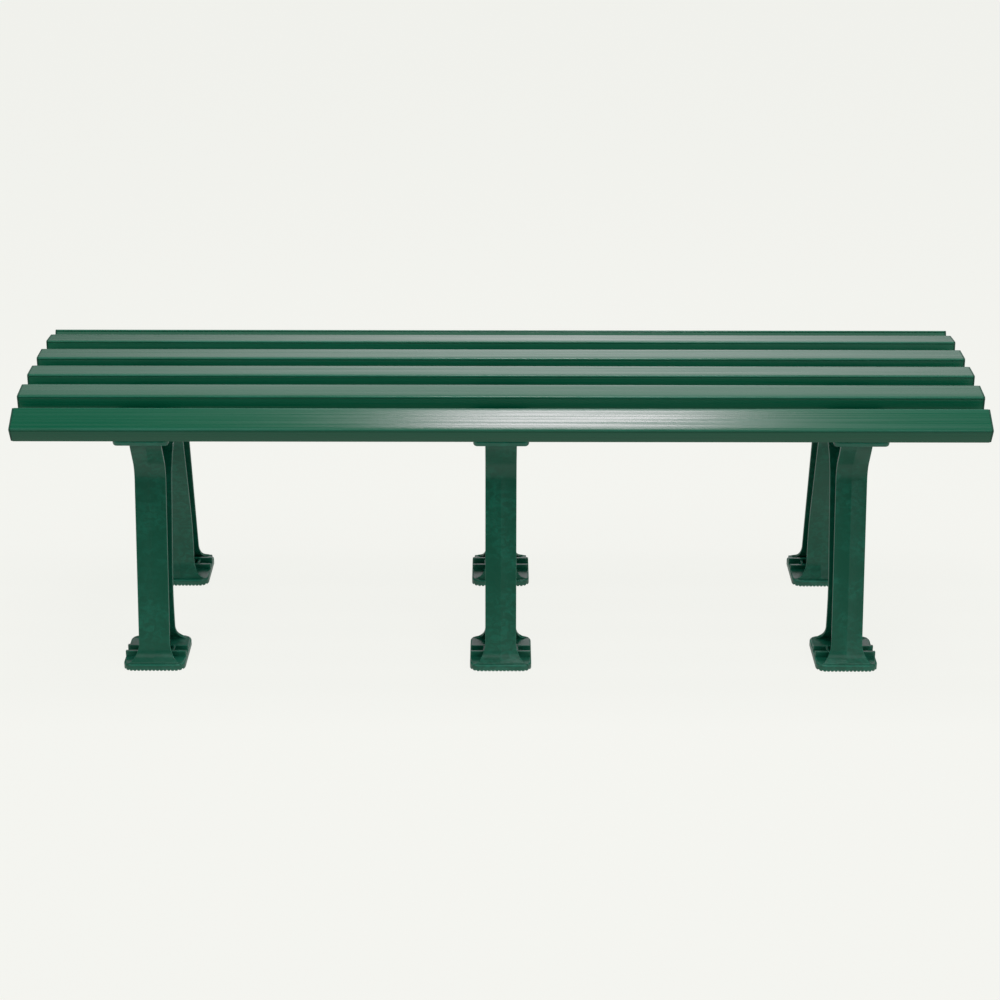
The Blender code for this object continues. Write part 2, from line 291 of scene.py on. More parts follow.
@dataclass(frozen=True)
class SlatPlastic:
    """Glossy extruded plastic with fine drawing lines along the slat."""

    colour: Colour = (0.0002, 0.083, 0.039)
    pale: Colour = (0.005, 0.130, 0.080)
    dust: Colour = (0.24, 0.34, 0.30)
    roughness: float = 0.200
    index: float = 1.50
    line_stretch: float = 0.0045
    line_pitch: float = 0.0018
    line_depth: float = 0.00003
    line_gloss: float = 0.10
    line_dust: float = 0.008
    band_pitch: float = 0.42
    band_gloss: float = 0.09
    band_film: float = 0.16
    cloud_stretch: float = 0.35
    cloud_scale: float = 14.0
    cloud_gloss: float = 0.05
    speck_scale: float = 900.0
    speck_dust: float = 0.012
    edge_highlight_film: float = 0.55
    edge_gloss: float = 0.04

    def material(self) -> bpy.types.Material:
        """Make the material.

        Returns:
            Deep green plastic: lengthwise lines in the bump and roughness, pale lengthwise bands,
            a painted highlight on the rounded edges, which are also rougher, and a little dust in
            uneven streaks.
        """
        material, graph = new_material(Slot.SLAT.value)
        place = graph.place()
        along = graph.scaled(place, (self.line_stretch, 1.0, 1.0))
        lines = graph.noise(along, 1.0 / self.line_pitch, 3.0)
        bands = graph.noise(along, self.band_pitch / self.line_pitch)
        drawn = graph.scaled(place, (self.cloud_stretch, 1.0, 1.0))
        clouds = graph.noise(drawn, self.cloud_scale, 3.0, 0.4)
        specks = graph.noise(place, self.speck_scale, 1.0)
        edge_highlight = graph.edge_highlight()
        # Painted highlight: the rounded edges are paled by their attribute; the bands add a real
        # pale film.
        film_and_highlight = edge_highlight * self.edge_highlight_film + bands.ramp(0.45, 0.75) * self.band_film
        base = graph.mixed(film_and_highlight * clouds.ramp(0.15, 0.75), self.colour, self.pale)
        dusty = lines.ramp(0.56, 0.80) * clouds.ramp(0.35, 0.8) * self.line_dust
        dusty = dusty + specks.ramp(0.70, 0.82) * self.speck_dust
        base = graph.mixed(dusty, base, self.dust)
        streaks = bands.ramp(0.36, 0.66) * self.band_gloss
        streaks = streaks + lines.ramp(0.40, 0.68) * self.line_gloss
        rough = self.roughness + streaks + clouds * self.cloud_gloss + edge_highlight * self.edge_gloss
        graph.surface(base, rough, lines * 0.6 + bands * 1.4, self.line_depth, IOR=self.index)
        return material


@dataclass(frozen=True)
class FramePlastic:
    """Satin moulded plastic with flow marks, ejector rings and a parting line."""

    colour: Colour = (0.0003, 0.074, 0.040)
    pale: Colour = (0.003, 0.142, 0.086)
    dust: Colour = (0.33, 0.35, 0.33)
    roughness: float = 0.26
    index: float = 1.49
    spacing: float = 0.553
    ring_radius: float = 0.0042
    ring_line: float = 0.00055
    ring_pitch: float = 0.058
    seam_line: float = 0.0011
    flow_size: float = 0.0075
    flow_gloss: float = 0.07
    peel_size: float = 0.0011
    cloud_scale: float = 16.0
    cloud_gloss: float = 0.05
    speck_scale: float = 620.0
    mark_film: float = 0.55
    vein_film: float = 0.22
    edge_highlight_film: float = 0.60
    ring_film: float = 0.08
    seam_film: float = 0.05
    speck_dust: float = 0.012
    floor_dust: float = 0.03
    floor_reach: float = 0.060
    relief: float = 0.00015

    def material(self) -> bpy.types.Material:
        """Make the material.

        Returns:
            Dark green plastic: cloudy flow marks that run up the legs, fine orange
            peel, a painted highlight on the rounded edges, faint ejector rings and dust close to
            the floor.
        """
        material, graph = new_material(Slot.FRAME.value)
        place = graph.place()
        across = (graph.part(place, 0) + self.spacing * 1.5) % self.spacing
        across = across - self.spacing / 2
        height = graph.part(place, 2)
        upright = graph.scaled(place, (0.7, 0.7, 1.0))
        flow = graph.noise(upright, 1.0 / self.flow_size, 4.0, 0.9)
        clouds = graph.noise(place, self.cloud_scale, 2.0, 0.6)
        peel = graph.noise(place, 1.0 / self.peel_size, 1.0)
        specks = graph.noise(place, self.speck_scale, 1.0)
        rise = (height + self.ring_pitch / 2) % self.ring_pitch - self.ring_pitch / 2
        radius = (across * across + rise * rise) ** 0.5
        ring = abs(radius - self.ring_radius).ramp(self.ring_line, 0.0)
        seam = abs(across).ramp(self.seam_line, 0.0)
        fold = graph.noise(place, 0.45 / self.flow_size, 3.0, 1.4)
        veins = abs(fold - 0.5).ramp(0.012, 0.0) * clouds.ramp(0.36, 0.58)
        marks = flow.ramp(0.36, 0.70) * clouds.ramp(0.28, 0.62)
        # Pale flow marks, veins, rings and seam, plus a painted highlight on the rounded edges.
        film_and_highlight = marks * self.mark_film + veins * self.vein_film + graph.edge_highlight() * self.edge_highlight_film
        film_and_highlight = film_and_highlight + ring * self.ring_film + seam * self.seam_film
        base = graph.mixed(film_and_highlight, self.colour, self.pale)
        low = height.ramp(self.floor_reach, 0.0) * clouds.ramp(0.25, 0.75) * self.floor_dust
        dusty = specks.ramp(0.68, 0.80) * self.speck_dust + low
        base = graph.mixed(dusty, base, self.dust)
        rough = self.roughness + flow * self.flow_gloss + clouds * self.cloud_gloss + low * 0.9
        relief = flow * 0.9 + veins * 0.3 + peel * 0.10 + ring * 0.20
        graph.surface(base, rough, relief, self.relief, IOR=self.index)
        return material


@dataclass(frozen=True)
class CapPlastic:
    """Satin plastic of the plug-in end caps, finely sparked."""

    colour: Colour = (0.0028, 0.055, 0.030)
    pale: Colour = (0.030, 0.105, 0.070)
    roughness: float = 0.36
    index: float = 1.49
    grain: float = 0.0006
    grain_gloss: float = 0.10
    cloud_scale: float = 60.0
    cloud_gloss: float = 0.06
    cloud_film: float = 0.22
    edge_highlight_film: float = 0.6
    relief: float = 0.00003

    def material(self) -> bpy.types.Material:
        """Make the material.

        Returns:
            Dark green plastic with an even fine grain and a paler painted highlight on its rounded
            edges.
        """
        material, graph = new_material(Slot.CAP.value)
        place = graph.place()
        grain = graph.noise(place, 1.0 / self.grain)
        clouds = graph.noise(place, self.cloud_scale, 3.0, 0.8)
        # Painted highlight on the rounded edges, together with pale clouds.
        film_and_highlight = graph.edge_highlight() * self.edge_highlight_film + clouds.ramp(0.45, 0.75) * self.cloud_film
        base = graph.mixed(film_and_highlight, self.colour, self.pale)
        rough = self.roughness + grain * self.grain_gloss + clouds * self.cloud_gloss
        graph.surface(base, rough, grain, self.relief, IOR=self.index)
        return material


@dataclass(frozen=True)
class ScrewSteel:
    """Bright zinc plate with turning marks and a dull bloom."""

    colour: Colour = (0.58, 0.60, 0.60)
    bloom: Colour = (0.36, 0.37, 0.36)
    roughness: float = 0.24
    bloom_scale: float = 420.0
    bloom_gloss: float = 0.28
    grain_scale: float = 2600.0
    grain_gloss: float = 0.08
    relief: float = 0.00001

    def material(self) -> bpy.types.Material:
        """Make the material.

        Returns:
            Metal whose colour and roughness drift between bright and bloomed zinc.
        """
        material, graph = new_material(Slot.SCREW.value)
        place = graph.place()
        bloom = graph.noise(place, self.bloom_scale, 4.0, 0.7)
        grain = graph.noise(place, self.grain_scale)
        base = graph.mixed(bloom.ramp(0.42, 0.72), self.colour, self.bloom)
        rough = self.roughness + bloom * self.bloom_gloss + grain * self.grain_gloss
        graph.surface(base, rough, grain, self.relief, Metallic=1.0)
        return material


# --- surfaces ------------------------------------------------------------------------


@dataclass
class Shell:
    """One closed surface: points, four-sided faces, end polygons and the painted edge highlight."""

    points: np.ndarray
    quads: np.ndarray
    ends: list[np.ndarray]
    edge_highlight: np.ndarray

    def turned_out(self) -> "Shell":
        """Turn the faces so that they point outwards.

        The volume is the sum over all triangles of the triple product of their corners
        divided by six; where it is negative, every face is reversed.

        Returns:
            The shell itself.
        """
        fans = [self.quads[:, [0, 1, 2]], self.quads[:, [0, 2, 3]]]
        for end in self.ends:
            first = np.full(len(end) - 2, end[0])
            fans.append(np.stack([first, end[1:-1], end[2:]], axis=1))
        corners = self.points[np.concatenate(fans)]
        volume = np.einsum("ij,ij->", corners[:, 0], np.cross(corners[:, 1], corners[:, 2]))
        if volume < 0.0:
            self.quads = self.quads[:, ::-1]
            self.ends = [end[::-1] for end in self.ends]
        return self


def grid_quads(index: np.ndarray, wrapped: bool) -> np.ndarray:
    """Faces between neighbouring points of a grid.

    Args:
        index: Point numbers, row by row.
        wrapped: Whether the last column joins the first.

    Returns:
        Four point numbers for each face.
    """
    if wrapped:
        index = np.concatenate([index, index[:, :1]], axis=1)
    corners = [index[:-1, :-1], index[:-1, 1:], index[1:, 1:], index[1:, :-1]]
    return np.stack(corners, axis=-1).reshape(-1, 4)


def tube_shell(grid: np.ndarray, edge_highlight: np.ndarray) -> Shell:
    """Closed shell from rings of points, with a polygon at each end.

    Args:
        grid: Points as (rings, points round a ring, 3).
        edge_highlight: Weight of the painted highlight on rounded edges, of a shape that stretches
            to the rings.

    Returns:
        The shell, facing outwards.
    """
    rings, around = grid.shape[:2]
    index = np.arange(rings * around).reshape(rings, around)
    spread = np.broadcast_to(edge_highlight, (rings, around)).reshape(-1)
    ends = [index[0, ::-1], index[-1]]
    return Shell(grid.reshape(-1, 3), grid_quads(index, True), ends, spread).turned_out()


def banded_shell(grid: np.ndarray, edge_highlight: np.ndarray) -> Shell:
    """Closed shell from rings whose first and last ring are filled by straight bands.

    Each ring runs along one side and back along the other with matching points, so a
    band joins every point of the first half to its partner in the second half.

    Args:
        grid: Points as (rings, points round a ring, 3).
        edge_highlight: Weight of the painted highlight on rounded edges, of a shape that stretches
            to the rings.

    Returns:
        The shell, facing outwards.
    """
    rings, around = grid.shape[:2]
    index = np.arange(rings * around).reshape(rings, around)
    half = around // 2
    sides = grid_quads(index, True)
    fills = []
    for ring, forward in ((index[0], False), (index[-1], True)):
        pair = np.stack([ring[:half], ring[::-1][:half]])
        fills.append(grid_quads(pair if forward else pair[::-1], False))
    spread = np.broadcast_to(edge_highlight, (rings, around)).reshape(-1)
    faces = np.concatenate([sides, *fills])
    return Shell(grid.reshape(-1, 3), faces, [], spread).turned_out()


def add_piece(
    name: str,
    shells: Sequence[Shell],
    material: bpy.types.Material,
    node: str,
    crease: float = 32.0,
) -> bpy.types.Object:
    """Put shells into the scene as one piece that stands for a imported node.

    Args:
        name: Name of the piece.
        shells: Its closed surfaces.
        material: Its finish.
        node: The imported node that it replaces.
        crease: Edges that turn by more than this many degrees stay sharp.

    Returns:
        The new object, at the origin.
    """
    starts = np.cumsum([0] + [len(shell.points) for shell in shells])
    faces: list[list[int]] = []
    for shell, start in zip(shells, starts):
        faces += (shell.quads + start).tolist()
        faces += [(end + start).tolist() for end in shell.ends]
    mesh = bpy.data.meshes.new(name)
    mesh.from_pydata(np.concatenate([shell.points for shell in shells]), [], faces)
    # Weight of the painted highlight on rounded edges; the finishes pale the colour there.
    edge_highlight = mesh.attributes.new(PAINTED_EDGE_HIGHLIGHT, "FLOAT", "POINT")
    edge_highlight.data.foreach_set("value", np.concatenate([s.edge_highlight for s in shells]).astype(np.float32))
    mesh.materials.append(material)
    mesh.shade_smooth()
    mesh.set_sharp_from_angle(angle=math.radians(crease))
    mesh.update()
    piece = bpy.data.objects.new(name, mesh)
    bpy.context.scene.collection.objects.link(piece)
    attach(piece, BODY)
    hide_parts(node)
    LOG.info("%s: %d points, %d faces, stands for %s", name, starts[-1], len(faces), node)
    return piece


def filleted(corners: Sequence[Corner], step: float = 2.0) -> np.ndarray:
    """Straight runs between corners with an arc in each corner that has a radius.

    An arc starts a reach before its corner, where the reach is the radius times the
    tangent of half the turn, and swings about a centre one radius to the inner side.

    Args:
        corners: Two coordinates and a fillet radius for each corner.
        step: Degrees of turn between points of an arc.

    Returns:
        The points of the line.
    """
    spots = np.array([corner[:2] for corner in corners])
    runs = [spots[:1]]
    for before, spot, after, corner in zip(spots, spots[1:], spots[2:], corners[1:]):
        arriving = (spot - before) / np.linalg.norm(spot - before)
        leaving = (after - spot) / np.linalg.norm(after - spot)
        cross = arriving[0] * leaving[1] - arriving[1] * leaving[0]
        turn = math.atan2(cross, float(arriving @ leaving))
        if corner[2] == 0.0 or abs(turn) < STRAIGHT:
            runs.append(spot[None])
            continue
        start = spot - arriving * corner[2] * math.tan(abs(turn) / 2)
        inward = np.array([-arriving[1], arriving[0]]) * math.copysign(1.0, turn)
        centre = start + inward * corner[2]
        swing = np.linspace(0.0, turn, max(3, math.ceil(abs(math.degrees(turn)) / step)))
        arm = start - centre
        arc_x = arm[0] * np.cos(swing) - arm[1] * np.sin(swing)
        arc_y = arm[0] * np.sin(swing) + arm[1] * np.cos(swing)
        runs.append(centre + np.stack([arc_x, arc_y], axis=1))
    runs.append(spots[-1:])
    return np.concatenate(runs)


def distances(line: np.ndarray) -> np.ndarray:
    """Distance along a line from its start to each of its points."""
    steps = np.linalg.norm(np.diff(line, axis=0), axis=1)
    return np.concatenate([[0.0], np.cumsum(steps)])


def at_distance(line: np.ndarray, stations: np.ndarray) -> np.ndarray:
    """Points of a line at given distances from its start."""
    lengths = distances(line)
    return np.stack([np.interp(stations, lengths, line[:, axis]) for axis in (0, 1)], axis=1)


def left_normals(line: np.ndarray) -> np.ndarray:
    """Unit normals to the left of a line's direction of travel, from central differences."""
    along = np.gradient(line, distances(line), axis=0)
    along /= np.linalg.norm(along, axis=1, keepdims=True)
    return np.stack([-along[:, 1], along[:, 0]], axis=1)


def shifted(line: np.ndarray, distance: float) -> np.ndarray:
    """A line moved sideways by an even distance, to the left of its travel."""
    return line + left_normals(line) * distance


def stations_along(length: float, pitch: float, extra: Sequence[float] = ()) -> np.ndarray:
    """Even stations along a line, with extra ones where the shape changes quickly.

    Args:
        length: Length of the line.
        pitch: About how far apart the even stations are.
        extra: More stations, of which those off the line are dropped.

    Returns:
        Rising distances from 0 to the length.
    """
    even = np.linspace(0.0, length, max(2, round(length / pitch) + 1))
    more = np.array([spot for spot in extra if 0.0 < spot < length])
    stations = np.unique(np.concatenate([even, more]))
    keep = np.concatenate([[True], np.diff(stations) > CLOSEST])
    return stations[keep]


@dataclass(frozen=True)
class StripSection:
    """Section of a flat strip with rounded edges, in units that follow its half width.

    A point lies at share * half width + shift across and at depth below the outer face.
    """

    thickness: float
    radius: float
    ridge: float = 0.0
    ridge_half: float = 0.0006
    steps: int = 5
    support: float = 0.0004

    def arrays(self) -> tuple[np.ndarray, np.ndarray, np.ndarray, np.ndarray]:
        """Work out the section.

        Each corner is a quarter circle with a support point on the flat at both ends;
        a low ridge, the parting line, runs down the middle of the outer face.

        Returns:
            Share of the half width, shift across, depth and painted edge highlight of each point.
        """
        quarter = np.linspace(0.0, math.pi / 2, self.steps)
        inner = self.radius + self.support
        cos, sin = self.radius * np.cos(quarter), self.radius * np.sin(quarter)
        out = np.concatenate([[0.0], cos - self.radius, [-inner]])
        down = np.concatenate([[-inner], sin - self.radius, [0.0]])
        out[0], down[-1] = 0.0, 0.0
        # Painted highlight, strongest halfway round each rounded corner.
        edge_lit = np.concatenate([[0.0], np.sin(2.0 * quarter), [0.0]])
        bottom = -self.thickness
        ridge_x = np.array([self.ridge_half, 0.0, -self.ridge_half])
        ridge_d = np.array([0.0, self.ridge, 0.0])
        share = np.concatenate([out * 0 + 1, ridge_x * 0, out * 0 - 1, out * 0 - 1, out * 0 + 1])
        shift = np.concatenate([out, ridge_x, -out[::-1], -out, out[::-1]])
        depth = [down, ridge_d, down[::-1], bottom - down, bottom - down[::-1]]
        depth = np.concatenate(depth)
        zero = np.zeros(3)
        edge_highlight = np.concatenate([edge_lit, zero, edge_lit[::-1], edge_lit, edge_lit[::-1]])
        return share, shift, depth, edge_highlight

    def swept(
        self,
        middle: float,
        line: np.ndarray,
        outward: np.ndarray,
        half_width: np.ndarray,
        closing: float = 0.0,
    ) -> Shell:
        """Carry the section along a line in the side view.

        A point stands at the line's point plus its depth times the outward normal, and
        at the strip's middle plus its place across. Near both ends the section draws in
        as a quarter circle, so the ends are rounded too.

        Args:
            middle: X of the strip's middle.
            line: Outer face of the strip as (Y, Z) points.
            outward: Unit normals out of that face.
            half_width: Half the strip's width at each point.
            closing: Radius that rounds the two ends, or 0 for square ends.

        Returns:
            The closed strip.
        """
        share, shift, depth, edge_highlight = self.arrays()
        along = distances(line)
        inset = np.zeros_like(along)
        if closing > 0.0:
            reach = np.clip(np.minimum(along, along[-1] - along), 0.0, closing)
            inset = closing - np.sqrt(closing**2 - (closing - reach) ** 2)
        across = share * (half_width - inset)[:, None] + shift
        centre = -self.thickness / 2
        flatten = 1.0 - 2.0 * inset / self.thickness
        deep = centre + (depth - centre) * flatten[:, None]
        grid = np.empty((*across.shape, 3))
        grid[..., 0] = middle + across
        grid[..., 1] = line[:, :1] + deep * outward[:, :1]
        grid[..., 2] = line[:, 1:] + deep * outward[:, 1:]
        # The rounded ends of the strip get the painted highlight too.
        edge_lit = np.maximum(edge_highlight, (inset > 0.0)[:, None] * 0.7)
        return tube_shell(grid, edge_lit)


def plan_ring(
    half: tuple[float, float], radius: float, extra: np.ndarray
) -> tuple[np.ndarray, np.ndarray]:
    """Rounded rectangle that runs along its front and back along its rear.

    The corners are quarter circles; the front and the rear have points at the same X,
    so that straight bands can fill the outline.

    Args:
        half: Half the size along X and along Y.
        radius: Corner radius.
        extra: X of more points on the front and the rear.

    Returns:
        The points and the outward unit normals, both as (points, 2).
    """
    swing = np.linspace(0.0, math.pi / 2, 8)
    corner_x = half[0] - radius + radius * np.sin(swing)
    inside = extra[np.abs(extra) < half[0]]
    across = np.unique(np.round(np.concatenate([-corner_x, inside, corner_x]), 7))
    past = np.clip(np.abs(across) - (half[0] - radius), 0.0, radius)
    lean = np.arcsin(np.clip(past / radius, 0.0, 1.0))
    reach = half[1] - radius + radius * np.cos(lean)
    normal_x = np.sin(lean) * np.sign(across)
    normal_y = np.cos(lean)
    front = np.stack([across, -reach], axis=1)
    rear = np.stack([across, reach], axis=1)[::-1]
    normals = np.stack([normal_x, -normal_y], axis=1)
    back_normals = np.stack([normal_x, normal_y], axis=1)[::-1]
    return np.concatenate([front, rear]), np.concatenate([normals, back_normals])


@dataclass(frozen=True)
class Block:
    """Upright block with rounded plan corners and a rounded top edge."""

    low: Point
    high: Point
    corner: float
    edge: float
    steps: int = 4
    support: float = 0.0004

    def shell(self, sole: "Teeth | None" = None) -> Shell:
        """Stack the plan outline from the bottom to the top.

        The outline rises straight to one edge radius below the top, and then draws in
        and up along a quarter circle. With teeth, the lowest outline follows them.

        Args:
            sole: Row of teeth along the bottom, if it has one.

        Returns:
            The closed block.
        """
        low, high = np.array(self.low), np.array(self.high)
        centre, half = (low + high) / 2, (high - low) / 2
        columns = sole.columns() if sole else np.linspace(-half[0], half[0], 9)
        ring, normal = plan_ring((half[0], half[1]), self.corner, columns)
        quarter = np.linspace(0.0, math.pi / 2, self.steps + 1)
        draw_in = self.edge * (1.0 - np.cos(quarter))
        inset = np.concatenate([[0.0, 0.0], draw_in, [self.edge + self.support]])
        rise = high[2] - self.edge + self.edge * np.sin(quarter)
        upper = np.concatenate([[high[2] - self.edge - self.support], rise, [high[2]]])
        floor = low[2] + (sole.height(ring[:, 0]) if sole else np.zeros(len(ring)))
        flat = ring[None] - normal[None] * inset[:, None, None]
        grid = np.empty((len(inset), len(ring), 3))
        grid[..., :2] = flat + centre[:2]
        grid[0, :, 2] = floor
        grid[1:, :, 2] = upper[:, None]
        # Painted highlight along the rounded top edge, and half of it along the toothed sole.
        edge_lit = np.concatenate([[0.5 if sole else 0.0, 0.0], np.sin(2 * quarter), [0.0]])
        return banded_shell(grid, edge_lit[:, None])


@dataclass(frozen=True)
class Teeth:
    """Row of teeth across a sole: flat crests on the floor and narrow roots."""

    width: float = 0.098
    pitch: float = 0.006
    depth: float = 0.0016
    crest: float = 0.0034
    root: float = 0.0010

    def columns(self) -> np.ndarray:
        """X of every corner of the toothed line."""
        count = int(self.width / self.pitch)
        start = -self.pitch * count / 2 + self.pitch * np.arange(count)
        corners = np.array([self.crest / 2, self.pitch / 2 - self.root / 2])
        corners = np.concatenate([corners, self.pitch - corners[::-1]])
        return (start[:, None] + corners[None]).reshape(-1)

    def height(self, across: np.ndarray) -> np.ndarray:
        """Height of the toothed line above the floor.

        It is 0 over each crest, the full depth over each root, and straight between.

        Args:
            across: X measured from the middle of the sole.

        Returns:
            The heights.
        """
        count = int(self.width / self.pitch)
        start = -self.pitch * count / 2
        phase = np.mod(across - start, self.pitch)
        distance = np.minimum(phase, self.pitch - phase)
        slope = self.pitch / 2 - self.root / 2 - self.crest / 2
        height = self.depth * np.clip((distance - self.crest / 2) / slope, 0.0, 1.0)
        return np.where(np.abs(across) > -start, 0.0, height)


# --- slats ---------------------------------------------------------------------------


@dataclass(frozen=True)
class SlatRow:
    """Place of a slat's top face: across, height and outward tilt in degrees."""

    across: float
    height: float
    tilt: float

    def placed(self, side: Side, along: np.ndarray, over: np.ndarray, up: np.ndarray) -> np.ndarray:
        """Turn slat coordinates into bench coordinates.

        The slat turns about X by its tilt, away from the middle of the bench, and its
        top middle then moves to its place.

        Args:
            side: Half of the bench.
            along: X.
            over: Distance across the slat, positive towards the back.
            up: Height above the top face.

        Returns:
            Points with a last axis of three.
        """
        lean = math.radians(-side.value * self.tilt)
        y = over * math.cos(lean) - up * math.sin(lean) + side.value * self.across
        z = over * math.sin(lean) + up * math.cos(lean) + self.height
        return np.stack(np.broadcast_arrays(along, y, z), axis=-1)


SLAT_ROWS = (
    SlatRow(0.2094, 0.4265, 27.7),
    SlatRow(0.1278, 0.4435, 4.7),
    SlatRow(0.0410, 0.4460, 0.0),
)


@dataclass(frozen=True)
class SlatProfile:
    """Outer outline of the extruded slat, with a crowned top and a line below its edges."""

    width: float = 0.0465
    height: float = 0.0283
    crown: float = 0.00045
    crown_power: float = 7.0
    top_radius: float = 0.0025
    bottom_radius: float = 0.0024
    groove_drop: float = 0.0038
    groove_half: float = 0.0009
    groove_depth: float = 0.0009
    support: float = 0.0004
    lit_from: float = 0.86

    def outline(self) -> tuple[np.ndarray, np.ndarray, np.ndarray]:
        """Work out the closed outline.

        The top falls away from its middle as a high power of the distance from it. The
        upper corners are quarter circles, each side has a shallow cosine groove below
        its upper corner, and the lower corners are quarter circles too.

        Returns:
            Distance across, height below the top, and painted edge highlight of each point.
        """
        half = self.width / 2
        flat = half - self.top_radius
        over = np.sin(np.linspace(-math.pi / 2, math.pi / 2, 33)) * flat
        up = -self.crown * np.abs(over / flat) ** self.crown_power
        # Painted highlight: paler towards the edges of the top, full on the upper corners, weaker
        # on the lower corners.
        rim = (np.abs(over) / flat - self.lit_from) / (1.0 - self.lit_from)
        top_edge_lit = np.clip(rim, 0.0, 1.0) * 0.5
        turn = np.linspace(0.0, math.pi / 2, 8)[1:]
        corner_x = flat + self.top_radius * np.sin(turn)
        corner_z = -self.crown - self.top_radius * (1.0 - np.cos(turn))
        wave = np.linspace(-1.0, 1.0, 9)
        groove_x = half - self.groove_depth * (0.5 + 0.5 * np.cos(math.pi * wave))
        groove_z = -self.groove_drop - self.groove_half * wave
        low_flat = half - self.bottom_radius
        inside = low_flat - self.support
        low_x = low_flat + self.bottom_radius * np.cos(turn)
        low_z = -self.height + self.bottom_radius * (1.0 - np.sin(turn))
        start = -self.height + self.bottom_radius
        lead = [start + self.support, start]
        side_x = np.concatenate([corner_x, groove_x, [half, half], low_x, [inside]])
        side_z = np.concatenate([corner_z, groove_z, lead, low_z, [-self.height]])
        upper_edge_lit = np.sin(2 * turn) * 0.5 + 0.5
        lower_edge_lit = np.sin(2 * turn) * 0.6
        edge_lit = np.concatenate([upper_edge_lit, np.zeros(11), lower_edge_lit, [0]])
        bottom = np.linspace(inside, -inside, 7)[1:-1]
        across = np.concatenate([over, side_x, bottom, -side_x[::-1]])
        height = np.concatenate([up, side_z, bottom * 0 - self.height, side_z[::-1]])
        edge_highlight = np.concatenate([top_edge_lit, edge_lit, bottom * 0, edge_lit[::-1]])
        return across, height, edge_highlight


@dataclass(frozen=True)
class Slat:
    """One extruded slat between its two end caps."""

    number: int
    side: Side
    row: SlatRow
    profile: SlatProfile = SlatProfile()
    length: float = 1.4944
    stations: int = 25

    def build(self, material: bpy.types.Material) -> bpy.types.Object:
        """Carry the outline straight along the slat.

        Args:
            material: The extruded plastic.

        Returns:
            The slat.
        """
        across, height, edge_highlight = self.profile.outline()
        along = np.linspace(-self.length / 2, self.length / 2, self.stations)[:, None]
        grid = self.row.placed(self.side, along, across[None], height[None])
        shell = tube_shell(grid, edge_highlight)
        name = f"slat_{self.number}_extrusion"
        return add_piece(name, [shell], material, f"seat_slat_{self.number}")


@dataclass(frozen=True)
class EndCap:
    """Plug-in cap: a plate with a rounded rim round a shallow sunk panel."""

    number: int
    side: Side
    row: SlatRow
    end: End
    bench_length: float = 1.500
    thickness: float = 0.0025
    width: float = 0.0459
    height: float = 0.0277
    drop: float = 0.0003
    corner: float = 0.0030
    rim: float = 0.0007
    panel: float = 0.0022
    sunk: float = 0.0005
    support: float = 0.0003
    column_reach: float = 0.018

    def build(self, material: bpy.types.Material) -> bpy.types.Object:
        """Stack outlines of the cap from its inner face to its sunk panel.

        Each outline is the rounded rectangle drawn in by an inset. The rim is a quarter
        circle, and the panel's wall is a sloping step.

        Args:
            material: The cap plastic.

        Returns:
            The cap.
        """
        columns = np.linspace(-self.column_reach, self.column_reach, 9)
        ring, normal = plan_ring((self.width / 2, self.height / 2), self.corner, columns)
        quarter = np.linspace(0.0, math.pi / 2, 5)
        step = np.array([-0.0002, 0.0, 0.0003, 0.0006]) + self.panel
        rim_in = self.rim * (1.0 - np.cos(quarter))
        inset = np.concatenate([[self.support, 0.0], rim_in, [self.rim + self.support], step])
        out = self.thickness
        rim_out = out - self.rim + self.rim * np.sin(quarter)
        floor = out - self.sunk
        face = [out, out, out - 0.0001, floor, floor]
        depth = np.concatenate([[0.0, self.support], rim_out, face])
        flat = ring[None] - normal[None] * inset[:, None, None]
        start = self.end.value * (self.bench_length / 2 - self.thickness)
        along = start + self.end.value * depth[:, None]
        middle = -self.drop - self.height / 2
        grid = self.row.placed(self.side, along, flat[..., 0], flat[..., 1] + middle)
        # Painted highlight on the cap's rounded rim.
        edge_highlight = np.concatenate([[0.0, 0.0], np.sin(2 * quarter), np.zeros(5)])[:, None]
        shell = banded_shell(grid, edge_highlight)
        word = self.end.name.lower()
        name = f"slat_{self.number}_{word}_cap"
        return add_piece(name, [shell], material, f"end_cap_{self.number}_{word}")


# --- leg frames ----------------------------------------------------------------------


@dataclass(frozen=True)
class Flare:
    """Half width of a flange: wide at the foot, narrow up the leg, wider at the plate."""

    foot: float = 0.0450
    narrow: float = 0.02465
    foot_top: float = 0.0384
    foot_bottom: float = 0.0111
    neck: tuple[Corner, ...] = (
        (0.02465, 0.3200, 0.0),
        (0.02465, 0.3865, 0.016),
        (0.0340, 0.3985, 0.003),
        (0.0340, 0.4360, 0.0),
    )

    def half_width(self, height: np.ndarray) -> np.ndarray:
        """Half width at a height above the floor.

        Below the top of the foot flare it is a quarter ellipse that opens sideways to
        the foot, and above the neck it follows the filleted neck line.

        Args:
            height: Heights above the floor.

        Returns:
            Half widths.
        """
        rise = self.foot_top - self.foot_bottom
        share = np.clip((self.foot_top - height) / rise, 0.0, 1.0)
        low = self.foot - (self.foot - self.narrow) * np.sqrt(1.0 - share**2)
        neck = filleted(self.neck)
        high = np.interp(height, neck[:, 1], neck[:, 0], left=self.narrow)
        return np.where(height < self.foot_top, low, high)

    def busy_heights(self) -> np.ndarray:
        """Heights that follow the foot flare in even steps of its turn."""
        turn = np.linspace(0.0, math.pi / 2, 22)
        low = self.foot_top - (self.foot_top - self.foot_bottom) * np.cos(turn)
        below = [self.foot_bottom - 0.0008, self.foot_bottom - 0.0001]
        return np.concatenate([below, low])


